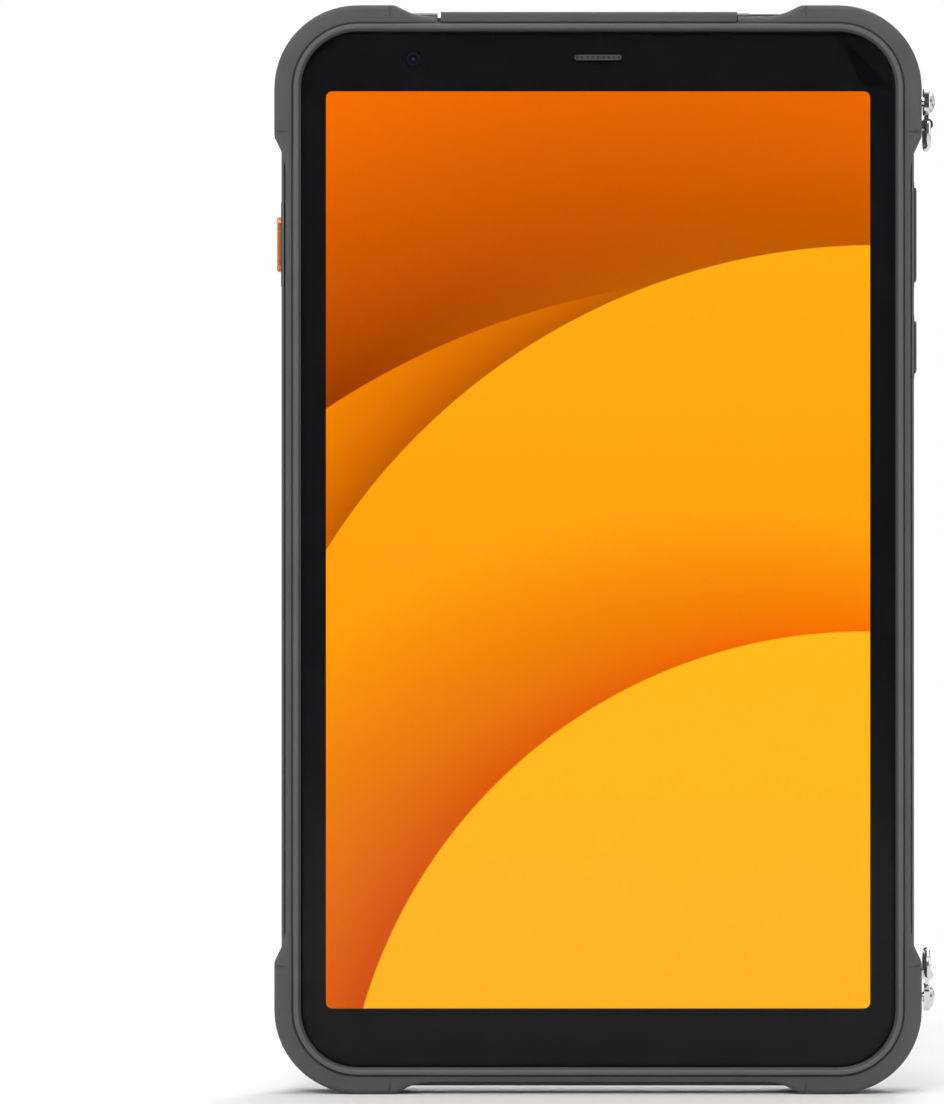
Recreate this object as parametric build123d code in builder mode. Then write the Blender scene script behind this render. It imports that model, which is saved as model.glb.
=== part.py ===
"""Rugged eight-inch data collector, a tablet for surveying and site work.

Millimetres. Seen from the front, X runs to the right and Z up, and the screen faces -Y.
The pieces are drawn about the middle of the body, standing on its lower corner bumpers.
save() then moves each one so that the origin is the bottom centre of the whole
collector, strap lugs included.
"""

import os

from build123d import *

os.makedirs("parts", exist_ok=True)

# ---- Driving dimensions -------------------------------------------------------------
# Body over the corner bumpers
BODY_W, BODY_H, BODY_D = 124.0, 208.4, 15.6
CORNER_R = 16.0
EDGE_R = 0.3  # on the edges of small pieces
MODULE_R = 0.5  # corners of small modules

# Clearances
FIT = 0.1  # between fixed pieces that slide together
RUN = 0.05  # radial, between a pin and its bore
KEY_GAP = 0.25  # round a key, inside its seal
HINGE_GAP = 0.15  # beside the port cover's knuckle and round its edges

# Layers through the depth, from the front
LIP_RISE = 0.8  # bezel lip above the bumper faces
GLASS_SINK = 0.6  # glass below the lip
GLASS_T = 1.1
MASK_T = 0.1
TAPE_T = 0.2
PANEL_T = 2.1
PLATE_T = 1.0  # floor of the chassis

# Layers from the rear
BAND_RISE = 1.6  # rear band above the cover
COVER_T = 1.8
GASKET_T = 0.4
SURROUND_D = 5.2  # depth of the rear surround
REAR_STEP = 1.0  # its ledge between the bumpers
REAR_ROUND, BAND_ROUND = 3.2, 1.0
BAND_WALL = 1.4

# Insets from the outline of the body
RAIL_IN, RAIL_CHAMFER = 1.3, 0.4
FLANGE_IN = 2.15  # front frame between the bumpers
SHELL_T = 3.0  # corner shells of the front frame
CREASE_IN = 3.3  # where the bezel lip starts
LIP_W = 1.8
LIP_OUTER_SLOPE, LIP_INNER_SLOPE = 32, 50  # degrees from the depth
LIP_ROUND = 0.15
FACE_ROUND = 1.0  # outer edge of the front frame
GROOVE_IN, GROOVE_W, GROOVE_D = 1.8, 0.5, 1.5  # beside the rails, behind the flange
GLASS_IN = 5.5
APERTURE_IN = 8.0
CHASSIS_IN = 5.0  # inside of the chassis wall
BAND_IN = 9.0  # edge of the rear cover
LEDGE_IN = 12.0  # inside of the ledge that carries it
STEP_IN = 2.4
SCALLOP_SIDE, SCALLOP_END = 4.3, 5.2  # rear band between the bumpers

# Bumpers: length along the body's ends and sides, and the slopes at their ends
BUMPER_X, BUMPER_Z = 23.1, 25.2
FRONT_RUN = 4.4
REAR_RUN = 7.0
SHOULDER_R, HOLLOW_R = 2.5, 10.0
REAR_BLEND_R = 6.5
NOTCH_W, NOTCH_REACH = 1.0, 2.6
NOTCH_BACK = 0.9  # from the start of the slope, towards the corner

# Screen
SCREEN_W, SCREEN_H, SCREEN_BASE = 104.2, 175.6, 16.3
SCREEN_R = 1.2
PANEL_EDGE, PANEL_CHIN, PANEL_R = 1.6, 3.8, 3.0

# Front camera and earpiece, from the middle and the top of the body
EYE_X, EYE_DOWN, EYE_HOLE_R, EYE_LENS_R = -35.4, 10.3, 1.65, 0.65
EAR_DOWN, EAR_W, EAR_H = 10.05, 9.0, 1.05
EAR_HOLES, EAR_HOLE_R = 9, 0.3

# Grip strips on the rear cover
STRIPS = 8
STRIP_GAP, STRIP_MARGIN, STRIP_END = 1.16, 1.74, 1.7
STRIP_T, STRIP_SINK, STRIP_R = 0.8, 0.4, 2.0
SLOPE_LOW, SLOPE_HIGH = 52.4, 44.7  # ends of the first strip's slope, from the top

# Rear camera block, down from the top of the body
PLATE_LOW, PLATE_SHOULDER = 48.0, 37.5
PLATE_RISE, PLATE_BEVEL, BLOCK_FOOT_R = 0.8, 0.5, 1.5
WINDOW_W, WINDOW_H, WINDOW_DOWN = 10.1, 20.5, 21.95
WINDOW_T, WINDOW_SINK, WINDOW_EDGE = 0.9, 0.5, 0.25
RING_MOUTH, LENS_SINK, LAMP_EDGE = 0.5, 0.5, 0.4
LAMP_DOWN, CAMERA_DOWN, FLASH_DOWN = 16.8, 27.0, 37.3
RING_R, LAMP_R, LENS_R, FLASH_R = 4.15, 2.65, 1.95, 2.05
LENS_T = 0.9
LED_BOARD_T, LED_BOARD_HALF = 0.3, 3.3

# Keys in the rails: length of key, length of well, height of the middle above the base
VOLUME = (18.3, 20.6, 164.7)
POWER = (10.2, 12.8, 143.1)
CUSTOM = (10.5, 16.4, 162.8)
KEY_W, WELL_W, WELL_D = 3.4, 5.0, 2.3
KEY_R, WELL_R, DISH_R, KEY_ROUND = 1.2, 1.6, 0.9, 0.35
KEY_PROUD, CUSTOM_PROUD, SEAL_PROUD = 0.6, 0.9, 0.1
KEY_TRAVEL = 0.3
ROCKER_DISH = 0.25
PLUNGER_R, SWITCH_T, SWITCH_W = 0.9, 1.3, 3.0
KEY_BOARD_T = 0.8
VOLUME_REACH = 5.5  # from the rocker's middle to each of its switches

# Port cover on the top edge
COVER_LEFT, COVER_RIGHT = -30.1, 26.6
COVER_LID, PAD_T, DECK_GAP, STRAP_ROOT = 1.3, 0.7, 0.1, 0.5
COVER_LIP, COVER_REAR_DROP, COVER_FRONT_GAP = 0.9, 3.2, 0.1
HINGE_X, HINGE_DROP, KNUCKLE_R, KNUCKLE_W, HINGE_PIN_R = -32.6, 1.7, 1.1, 3.8, 0.5
HINGE_POCKET = 2.3  # from the pivot to the pocket's far wall
HINGE_SWING = 0.65  # room for the lid's left end as it turns up
LID_ROUND, PAD_MARGIN, PAD_R = 0.6, 1.0, 1.0
PRY_START, PRY_END, PRY_DEPTH, PRY_W = 2.4, 8.7, 1.4, 2.4

# Ports under it
USB_X, USB_W, USB_T, USB_L = -4.0, 9.0, 3.2, 10.2
USB_WALL, USB_BACK = 0.3, 2.0
USB_TONGUE = (6.6, 0.7, 0.2, 4.6)  # width, thickness, corner radius, length
JACK_X, JACK_R, JACK_NOSE_R, JACK_W, JACK_L, JACK_BORE = 12.0, 1.8, 2.3, 6.0, 14.6, 14.0
CARD_X, CARD_W, CARD_T, CARD_L, CARD_WALL = -19.5, 13.0, 1.7, 15.0, 0.25

# Strap lugs on the right side
LUG_END = 18.15  # screw, from the end of the body
STUD_R, LUG_GAP, LUG_T = 0.95, 0.69, 1.16
LUG_W, LUG_TOP, LUG_FOOT = 4.8, 2.6, 2.55
NECK_T, NECK_W = 0.7, 2.6
EYE_DROP, EYE_R, EYE_W = 4.4, 1.14, 4.0
LUG_R = 1.4
WIRE_R, RING_HALF_W, RING_DROP, RING_BEND = 0.55, 3.9, 4.45, 2.6
HEAD_R, HEAD_T, HEAD_RIM = 2.05, 1.05, 0.3
SOCKET_R, SOCKET_D = 0.75, 0.6
INSERT_R, INSERT_L = 1.6, 5.5

# Boards and what they carry
BOARD_W, BOARD_TOP, BOARD_H, BOARD_T = 68.0, 13.4, 62.0, 1.0
BOARD_RISE = 1.9  # above the floor of the chassis
CAN_T, CAN_R, CAN_EDGE = 1.8, 0.8, 0.2
SUB_LEFT, SUB_RIGHT, SUB_BASE, SUB_H = -3.8, 45.0, 6.5, 17.0
BATTERY_W, BATTERY_GAP, BATTERY_SWELL, BATTERY_R = 92.0, 4.0, 1.2, 1.5
BATTERY_ROUND, SPEAKER_R = 1.0, 1.0
SPEAKER_X, SPEAKER_W, SPEAKER_H, SPEAKER_T = -21.0, 24.0, 12.0, 5.0
SPEAKER_HOLES, SPEAKER_HOLE_R, SPEAKER_PITCH = 9, 0.6, 2.0
MESH_T = 0.3
MIC_X, MIC_HOLE_R, MIC_W, MIC_T = 6.0, 0.5, 3.0, 1.0
MOTOR_R, MOTOR_T, MOTOR_X, MOTOR_Z = 4.0, 2.8, 50.8, 26.0
GNSS_W, GNSS_T, GNSS_X, GNSS_DOWN = 13.0, 4.0, -41.3, 21.0
TOP_POST_X, BASE_POST_X = 24.0, -6.2
POST_R, SCREW_R, SCREW_HEAD_R, SCREW_HEAD_T = 2.1, 0.8, 1.5, 0.5
POST_EDGE = 0.4  # from a post to the edge of the board
CASE_SCREW_L, BOARD_SCREW_L = 5.2, 2.4
FLEX_W, FLEX_T = 12.0, 0.15

# ---- Sizes that follow --------------------------------------------------------------
HALF_W, MID_Z = BODY_W / 2, BODY_H / 2
FRONT, REAR = -BODY_D / 2, BODY_D / 2
FACE = FRONT + LIP_RISE
GLASS_FRONT = FRONT + GLASS_SINK
GLASS_REAR = GLASS_FRONT + GLASS_T
PANEL_FRONT = GLASS_REAR + MASK_T
SEAT = PANEL_FRONT + TAPE_T
PLATE_FRONT = PANEL_FRONT + PANEL_T
FLOOR = PLATE_FRONT + PLATE_T
RAIL_FRONT = PLATE_FRONT + 3 * FIT
PARTING = REAR - SURROUND_D
RAIL_Y = (RAIL_FRONT + PARTING) / 2
COVER_REAR = REAR - BAND_RISE
COVER_FRONT = COVER_REAR - COVER_T
LEDGE = COVER_FRONT - GASKET_T
STEP = PARTING + REAR_STEP
HOLLOW_REAR = COVER_REAR - COVER_T / 2
LED_BOARD_FRONT = COVER_FRONT - LED_BOARD_T

RAIL_X = HALF_W - RAIL_IN
RAIL_TOP = BODY_H - RAIL_IN
SLOPE_SHARE = RAIL_IN / FLANGE_IN  # where a bumper's slope comes down to the rail
RAIL_HALF_X = HALF_W - BUMPER_X - FRONT_RUN * SLOPE_SHARE
RAIL_HALF_Z = MID_Z - BUMPER_Z - FRONT_RUN * SLOPE_SHARE
CREASE_TOP = BODY_H - CREASE_IN
WALL_X = HALF_W - CHASSIS_IN
WELL_FLOOR = RAIL_X - WELL_D
SWITCH_X = WALL_X - KEY_TRAVEL - FIT

LID_BASE = RAIL_TOP - COVER_LID
DECK = LID_BASE - PAD_T - DECK_GAP
SPAN = (COVER_LEFT - HINGE_SWING, COVER_RIGHT + HINGE_GAP)
HINGE_Z = RAIL_TOP - HINGE_DROP

STRIP_W = (BODY_W - 2 * (BAND_IN + STRIP_MARGIN) - (STRIPS - 1) * STRIP_GAP) / STRIPS
STRIP_TOP = BODY_H - BAND_IN - STRIP_END
STRIP_BASE = BAND_IN + STRIP_END
STRIP_FLOOR = COVER_REAR - STRIP_SINK
BLOCK_X = HALF_W - BAND_IN - STRIP_MARGIN - STRIP_W / 2  # middle of the camera block
BLOCK_REAR = COVER_REAR + PLATE_RISE
WINDOW_FLOOR = BLOCK_REAR - WINDOW_SINK

BOARD_FRONT = FLOOR + BOARD_RISE
BOARD_REAR = BOARD_FRONT + BOARD_T
BOARD_Z = (BODY_H - BOARD_TOP - BOARD_H, BODY_H - BOARD_TOP)
BATTERY_Z = (SUB_BASE + SUB_H + BATTERY_GAP, BOARD_Z[0] - BATTERY_GAP)
LUG_X = HALF_W + LUG_GAP
EYE_AXIS_X = LUG_X + LUG_T / 2
REACH = LUG_X + LUG_T + HEAD_T - HALF_W
OUTSIDE = 5.0  # how far a cutter stands clear of what it cuts


# ---- Planes and shapes that repeat --------------------------------------------------
def facing(y, x=0.0, z=MID_Z):
    """The upright plane at depth y, seen from the front: x to the right, z up."""
    return Plane(origin=(x, y, z), x_dir=(1, 0, 0), z_dir=(0, -1, 0))


def sideways(x, z, hand=1):
    """The plane at distance x from the middle on the side of hand, facing outwards."""
    return Plane(origin=(hand * x, RAIL_Y, z), x_dir=(0, hand, 0), z_dir=(hand, 0, 0))


def slab(inset, front, rear, mode=Mode.ADD, taper=0):
    """A plate from front to rear with the outline of the body drawn in by inset at its rear."""
    with BuildSketch(facing(rear)) as outline:
        RectangleRounded(BODY_W - 2 * inset, BODY_H - 2 * inset, CORNER_R - inset)
    extrude(outline.sketch, amount=rear - front, taper=taper, mode=mode)


def block(x, y, z, mode=Mode.ADD):
    """A square block between each pair of limits."""
    with Locations(((x[0] + x[1]) / 2, (y[0] + y[1]) / 2, (z[0] + z[1]) / 2)):
        Box(x[1] - x[0], y[1] - y[0], z[1] - z[0], mode=mode)


def disc(plane, radius, length, mode=Mode.ADD):
    """A round bar that stands on a plane."""
    with BuildSketch(plane) as circle:
        Circle(radius)
    extrude(circle.sketch, amount=length, mode=mode)


def drum(x, z, radius, front, rear, mode=Mode.ADD):
    """A round bar through the depth, at x and z."""
    disc(facing(rear, x, z), radius, rear - front, mode)


def plaque(plane, width, height, radius, length, mode=Mode.ADD):
    """A bar with a rounded rectangle for its section, standing on a plane."""
    with BuildSketch(plane) as outline:
        RectangleRounded(width, height, radius)
    extrude(outline.sketch, amount=length, mode=mode)


def slot_bar(plane, width, height, length, mode=Mode.ADD):
    """A bar with a round-ended section, standing on a plane."""
    with BuildSketch(plane) as outline:
        SlotOverall(max(width, height), min(width, height), 0 if width > height else 90)
    extrude(outline.sketch, amount=length, mode=mode)


def edges_at(y):
    """The edges of the piece in hand that lie in the upright plane at y."""
    return edges().filter_by_position(Axis.Y, y - 1e-4, y + 1e-4)


def corners_on(outline, x, z):
    """The corners of a sketch at distance x or z from its middle."""
    return [
        v for v in outline.vertices()
        if abs(abs(v.X) - x) < 1e-3 or abs(abs(v.Y) - z) < 1e-3
    ]


def bumpered(plane, side_in, end_in, run, shoulder, hollow):
    """The body's outline, drawn in between the bumpers by side_in and end_in."""
    half_x, half_z = HALF_W - BUMPER_X, MID_Z - BUMPER_Z
    with BuildSketch(plane) as outline:
        RectangleRounded(BODY_W, BODY_H, CORNER_R)
        for way in (1, -1):
            low, high = way * (MID_Z - end_in), way * (MID_Z + OUTSIDE)
            grow = run * OUTSIDE / end_in
            with BuildLine():
                Polyline(
                    (half_x + grow, high), (half_x - run, low),
                    (run - half_x, low), (-half_x - grow, high), close=True,
                )
            make_face(mode=Mode.SUBTRACT)
            low, high = way * (HALF_W - side_in), way * (HALF_W + OUTSIDE)
            grow = run * OUTSIDE / side_in
            with BuildLine():
                Polyline(
                    (high, half_z + grow), (low, half_z - run),
                    (low, run - half_z), (high, -half_z - grow), close=True,
                )
            make_face(mode=Mode.SUBTRACT)
        fillet(corners_on(outline, HALF_W - side_in, MID_Z - end_in), hollow)
        fillet(corners_on(outline, half_x, half_z), shoulder)
    return outline.sketch


def save(piece, name):
    """Labels a finished piece, sets it in the collector's frame and writes it."""
    placed = piece.part.moved(Location((-REACH / 2, 0, 0)))
    placed.label = name
    export_step(placed, f"parts/{name}.step")


# ---- Front: glass, screen and frame -------------------------------------------------
EAR_Z, EYE_Z = BODY_H - EAR_DOWN, BODY_H - EYE_DOWN
SCREEN_Z = SCREEN_BASE + SCREEN_H / 2

with BuildPart() as front_glass:
    slab(GLASS_IN, GLASS_FRONT, GLASS_REAR)
    fillet(edges_at(GLASS_FRONT), EDGE_R)
    slot_bar(facing(GLASS_REAR, 0, EAR_Z), EAR_W, EAR_H, GLASS_T, Mode.SUBTRACT)
save(front_glass, "front_glass")

# the black border behind the glass, open over the screen, the camera and the earpiece
with BuildPart() as display_mask:
    slab(GLASS_IN, GLASS_REAR, PANEL_FRONT)
    window = facing(PANEL_FRONT, 0, SCREEN_Z)
    plaque(window, SCREEN_W, SCREEN_H, SCREEN_R, MASK_T, Mode.SUBTRACT)
    slot_bar(facing(PANEL_FRONT, 0, EAR_Z), EAR_W, EAR_H, MASK_T, Mode.SUBTRACT)
    drum(EYE_X, EYE_Z, EYE_HOLE_R, GLASS_REAR, PANEL_FRONT, Mode.SUBTRACT)
save(display_mask, "display_mask")

with BuildPart() as display_tape:
    slab(GLASS_IN + FIT, PANEL_FRONT, SEAT)
    slab(APERTURE_IN, PANEL_FRONT, SEAT, Mode.SUBTRACT)
save(display_tape, "display_tape")

PANEL_Z = (SCREEN_BASE - PANEL_CHIN, SCREEN_BASE + SCREEN_H + PANEL_EDGE)
with BuildPart() as display_panel:
    back = facing(PLATE_FRONT, 0, sum(PANEL_Z) / 2)
    wide, tall = SCREEN_W + 2 * PANEL_EDGE, PANEL_Z[1] - PANEL_Z[0]
    plaque(back, wide, tall, PANEL_R, PANEL_T)
save(display_panel, "display_panel")

with BuildPart() as front_bezel:
    slab(CREASE_IN + RUN, FACE, SEAT)
    slab(CREASE_IN + RUN, FRONT, FACE, taper=LIP_OUTER_SLOPE)
    slab(CREASE_IN + LIP_W, GLASS_FRONT, SEAT, Mode.SUBTRACT)
    slab(CREASE_IN + LIP_W, FRONT, GLASS_FRONT, Mode.SUBTRACT, -LIP_INNER_SLOPE)
    fillet(edges_at(FRONT), LIP_ROUND)
save(front_bezel, "front_bezel")


def end_notches(z, way):
    """Cuts the two notches across the bumpers of an end, whose slopes leave at z."""
    for hand in (1, -1):
        x = hand * (HALF_W - BUMPER_X + NOTCH_BACK)
        notch(Plane(origin=(x, FACE, z), x_dir=(1, 0, 0), z_dir=(0, 0, -way)))


def side_notches(x, way):
    """Cuts the two notches across the bumpers of a side."""
    for up in (1, -1):
        z = MID_Z + up * (MID_Z - BUMPER_Z + NOTCH_BACK)
        notch(Plane(origin=(x, FACE, z), x_dir=(0, 0, 1), z_dir=(-way, 0, 0)))


def notch(plane):
    """A vee across the face of a bumper, fading inwards along the plane's normal."""
    with BuildSketch(plane.offset(-FIT)) as mouth:
        Circle(NOTCH_W / 2)
    with BuildSketch(plane.offset(NOTCH_REACH)) as end:
        Circle(NOTCH_W / 20)
    loft([mouth.sketch.faces()[0], end.sketch.faces()[0]], mode=Mode.SUBTRACT)


with BuildPart() as front_frame:
    shape = bumpered(facing(PARTING), FLANGE_IN, FLANGE_IN, FRONT_RUN, SHOULDER_R, HOLLOW_R)
    extrude(shape, amount=PARTING - FACE)
    fillet(edges_at(FACE), FACE_ROUND)
    for way in (1, -1):
        end_notches(MID_Z + way * MID_Z, way)
        side_notches(way * HALF_W, way)
    slab(CREASE_IN, FACE, SEAT, Mode.SUBTRACT)
    slab(APERTURE_IN, SEAT, PLATE_FRONT, Mode.SUBTRACT)
    slab(SHELL_T, PLATE_FRONT, PARTING, Mode.SUBTRACT)
    # between the bumpers only the flange in front of the rails is left
    deep = (PLATE_FRONT, PARTING)
    block((-RAIL_HALF_X, RAIL_HALF_X), deep, (-OUTSIDE, BODY_H + OUTSIDE), Mode.SUBTRACT)
    rail_z = (MID_Z - RAIL_HALF_Z, MID_Z + RAIL_HALF_Z)
    block((-HALF_W - OUTSIDE, HALF_W + OUTSIDE), deep, rail_z, Mode.SUBTRACT)
    # room for the port cover's front lip
    block(SPAN, (FACE, PLATE_FRONT), (CREASE_TOP, BODY_H), Mode.SUBTRACT)
    for z in (LUG_END, BODY_H - LUG_END):
        disc(sideways(WALL_X, z), INSERT_R + RUN, CHASSIS_IN + OUTSIDE, Mode.SUBTRACT)
save(front_frame, "front_frame")

MESH_REAR = GLASS_FRONT + 2 * MESH_T
with BuildPart() as earpiece_mesh:
    slot_bar(facing(MESH_REAR, 0, EAR_Z), EAR_W - RUN, EAR_H - RUN, MESH_T)
    pitch = EAR_W / EAR_HOLES
    with BuildSketch(facing(MESH_REAR, 0, EAR_Z)):
        with GridLocations(pitch, pitch, EAR_HOLES, 1):
            Circle(EAR_HOLE_R)
    extrude(amount=MESH_T, mode=Mode.SUBTRACT)
save(earpiece_mesh, "earpiece_mesh")

# The earpiece and the front camera pass through the frame's aperture and the chassis.
EAR_BODY = (12.0, 3.8)
EYE_BODY = (5.4, 3.8)
EYE_BARREL = 0.6
with BuildPart() as earpiece:
    sill = facing(FLOOR, 0, EAR_Z)
    plaque(sill, *EAR_BODY, MODULE_R, FLOOR - PANEL_FRONT)
    slot_bar(facing(PANEL_FRONT, 0, EAR_Z), EAR_W - FIT, EAR_H - FIT, PANEL_FRONT - MESH_REAR)
save(earpiece, "earpiece")

with BuildPart() as front_camera:
    base = facing(FLOOR, EYE_X, EYE_Z)
    plaque(base, *EYE_BODY, MODULE_R, FLOOR - PANEL_FRONT - EYE_BARREL)
    drum(EYE_X, EYE_Z, EYE_HOLE_R - FIT, PANEL_FRONT, FLOOR)
    drum(EYE_X, EYE_Z, EYE_LENS_R, PANEL_FRONT, PANEL_FRONT + EYE_BARREL / 2, Mode.SUBTRACT)
save(front_camera, "front_camera")


# ---- Chassis with the rails ---------------------------------------------------------
def posts():
    """Where the case screws stand, inside the ledge: x, z."""
    inset = (BAND_IN + LEDGE_IN) / 2
    across, up = HALF_W - inset, MID_Z - inset
    corner = CORNER_R / 4
    for x_way in (1, -1):
        for z_way in (1, -1):
            yield x_way * (across - corner / 4), MID_Z + z_way * (up - corner)
        yield x_way * across, MID_Z
    for z_way in (1, -1):
        yield (TOP_POST_X if z_way > 0 else BASE_POST_X), MID_Z + z_way * up


def board_posts():
    """Where the main board's screws stand: x, z."""
    edge = POST_R + POST_EDGE
    for x in (edge - BOARD_W / 2, BOARD_W / 2 - edge):
        for z in (BOARD_Z[0] + edge, BOARD_Z[1] - BOARD_H / 3):
            yield x, z


KEYS = ((1, VOLUME, KEY_PROUD), (1, POWER, KEY_PROUD), (-1, CUSTOM, CUSTOM_PROUD))


def plungers(key):
    """Heights of a key's plungers: two for the rocker, one for the others."""
    reach = VOLUME_REACH if key is VOLUME else 0
    return sorted({key[2] - reach, key[2] + reach})


with BuildPart() as mid_frame:
    # the rails stand out between the bumpers, chamfered along their front edges
    half_x, half_z = RAIL_HALF_X - FIT, RAIL_HALF_Z - FIT
    depth = (RAIL_FRONT, PARTING)
    block((-half_x, half_x), depth, (RAIL_IN, RAIL_TOP))
    ends = edges_at(RAIL_FRONT).filter_by(Axis.X).group_by(Axis.Z)
    chamfer(ends[0] + ends[-1], RAIL_CHAMFER)
    block((-RAIL_X, RAIL_X), depth, (MID_Z - half_z, MID_Z + half_z))
    sides = edges_at(RAIL_FRONT).filter_by(Axis.Z).group_by(Axis.X)
    chamfer(sides[0] + sides[-1], RAIL_CHAMFER)
    slab(SHELL_T + FIT, PLATE_FRONT, PARTING)
    slab(CHASSIS_IN, FLOOR, PARTING, Mode.SUBTRACT)
    # the grooves between the rails and the flange in front of them
    groove_y = (RAIL_FRONT, RAIL_FRONT + GROOVE_D)
    for way in (1, -1):
        side = sorted((way * (HALF_W - GROOVE_IN), way * (HALF_W - GROOVE_IN - GROOVE_W)))
        block(side, groove_y, (MID_Z - half_z, MID_Z + half_z), Mode.SUBTRACT)
        reach = MID_Z - GROOVE_IN
        end = sorted((MID_Z + way * reach, MID_Z + way * (reach - GROOVE_W)))
        block((-half_x, half_x), groove_y, end, Mode.SUBTRACT)
    # the deck under the port cover, the hinge's pocket and the fingernail notch
    block(SPAN, (PLATE_FRONT, PARTING), (DECK, BODY_H), Mode.SUBTRACT)
    knuckle_y = (RAIL_Y - KNUCKLE_W / 2 - HINGE_GAP, RAIL_Y + KNUCKLE_W / 2 + HINGE_GAP)
    pocket_z = (HINGE_Z - KNUCKLE_R - HINGE_GAP, BODY_H)
    block((HINGE_X - HINGE_POCKET, SPAN[0]), knuckle_y, pocket_z, Mode.SUBTRACT)
    drum(HINGE_X, HINGE_Z, HINGE_PIN_R, RAIL_FRONT + FIT, PARTING - FIT, Mode.SUBTRACT)
    block(
        (COVER_RIGHT + PRY_START, COVER_RIGHT + PRY_END), (RAIL_FRONT, RAIL_FRONT + PRY_W),
        (RAIL_TOP - PRY_DEPTH, BODY_H), Mode.SUBTRACT,
    )
    # the ports' mouths
    mouth = Plane(origin=(0, RAIL_Y, BODY_H - CHASSIS_IN - FIT), x_dir=(1, 0, 0), z_dir=(0, 0, 1))
    with BuildSketch(mouth) as mouths:
        with Locations((USB_X, 0)):
            SlotOverall(USB_W + 2 * FIT, USB_T + 2 * FIT)
        with Locations((JACK_X, 0)):
            Circle(JACK_NOSE_R + FIT)
        with Locations((CARD_X, BOARD_REAR + CARD_T / 2 - RAIL_Y)):
            Rectangle(CARD_W - 2 * CARD_WALL, CARD_T - 2 * CARD_WALL)
    extrude(mouths.sketch, amount=CHASSIS_IN + OUTSIDE, mode=Mode.SUBTRACT)
    # the keys' wells and the holes for their plungers
    for hand, key, _ in KEYS:
        plaque(sideways(WELL_FLOOR, key[2], hand), WELL_W, key[1], WELL_R, WELL_D + FIT, Mode.SUBTRACT)
        for z in plungers(key):
            disc(sideways(WALL_X - FIT, z, hand), PLUNGER_R + FIT, CHASSIS_IN, Mode.SUBTRACT)
    # the lugs' inserts pass through the corner walls
    for z in (LUG_END, BODY_H - LUG_END):
        disc(sideways(WALL_X - OUTSIDE, z), INSERT_R + RUN, 2 * OUTSIDE, Mode.SUBTRACT)
    # posts for the screws
    for x, z in posts():
        drum(x, z, POST_R, FLOOR, PARTING)
        drum(x, z, SCREW_R, PARTING - CASE_SCREW_L, PARTING, Mode.SUBTRACT)
    for x, z in board_posts():
        drum(x, z, POST_R, FLOOR, BOARD_FRONT)
        drum(x, z, SCREW_R, BOARD_REAR - BOARD_SCREW_L, BOARD_FRONT, Mode.SUBTRACT)
    # openings in the floor for the earpiece, the camera and the display's flex
    plaque(facing(FLOOR, 0, EAR_Z), EAR_BODY[0] + FIT, EAR_BODY[1] + FIT, MODULE_R, PLATE_T, Mode.SUBTRACT)
    eye = facing(FLOOR, EYE_X, EYE_Z)
    plaque(eye, EYE_BODY[0] + FIT, EYE_BODY[1] + FIT, MODULE_R, PLATE_T, Mode.SUBTRACT)
    flex_z = (BOARD_Z[0] - BATTERY_GAP / 2 - 1, BOARD_Z[0] - BATTERY_GAP / 2 + 1)
    block((-FLEX_W / 2 - FIT, FLEX_W / 2 + FIT), (PLATE_FRONT, FLOOR), flex_z, Mode.SUBTRACT)
    # the loudspeaker's and the microphone's holes through the bottom rail
    base = Plane(origin=(0, RAIL_Y, RAIL_IN - FIT), x_dir=(1, 0, 0), z_dir=(0, 0, 1))
    with BuildSketch(base) as holes:
        with Locations((SPEAKER_X, 0)):
            with GridLocations(SPEAKER_PITCH, SPEAKER_PITCH, SPEAKER_HOLES, 1):
                Circle(SPEAKER_HOLE_R)
        with Locations((MIC_X, 0)):
            Circle(MIC_HOLE_R)
    extrude(holes.sketch, amount=CHASSIS_IN, mode=Mode.SUBTRACT)
save(mid_frame, "mid_frame")


# ---- Rear surround, cover and grips -------------------------------------------------
def crest():
    """The rearmost face of the piece in hand."""
    return faces().sort_by(Axis.Y)[-1]


with BuildPart() as rear_surround:
    shape = bumpered(facing(REAR), SCALLOP_SIDE, SCALLOP_END, REAR_RUN, REAR_BLEND_R, REAR_BLEND_R)
    extrude(shape, amount=REAR - STEP)
    fillet(crest().outer_wire().edges(), REAR_ROUND)
    shape = bumpered(facing(STEP), STEP_IN, STEP_IN, FRONT_RUN, SHOULDER_R, HOLLOW_R)
    extrude(shape, amount=REAR_STEP)
    slab(BAND_IN, PARTING, REAR, Mode.SUBTRACT)
    fillet(crest().inner_wires()[0].edges(), BAND_ROUND)
    # hollow over the chassis wall, and the ledge that the cover lies on
    slab(CHASSIS_IN, PARTING, HOLLOW_REAR, Mode.SUBTRACT)
    slab(BAND_IN - BAND_WALL, PARTING, HOLLOW_REAR)
    slab(BAND_IN, LEDGE, HOLLOW_REAR, Mode.SUBTRACT)
    slab(LEDGE_IN, PARTING, LEDGE, Mode.SUBTRACT)
    for x, z in posts():
        drum(x, z, SCREW_R + RUN, PARTING, LEDGE, Mode.SUBTRACT)
        drum(x, z, SCREW_HEAD_R + FIT, LEDGE - SCREW_HEAD_T, LEDGE, Mode.SUBTRACT)
    # room for the port cover's rear lip
    rear_lip = (PARTING, PARTING + COVER_LIP + HINGE_GAP)
    block(SPAN, rear_lip, (RAIL_TOP - COVER_REAR_DROP - HINGE_GAP, BODY_H), Mode.SUBTRACT)
save(rear_surround, "rear_surround")

with BuildPart() as case_screws:
    for x, z in posts():
        head = LEDGE - SCREW_HEAD_T
        drum(x, z, SCREW_HEAD_R, head, LEDGE)
        drum(x, z, SCREW_R, head - CASE_SCREW_L, head)
save(case_screws, "case_screws")

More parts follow.
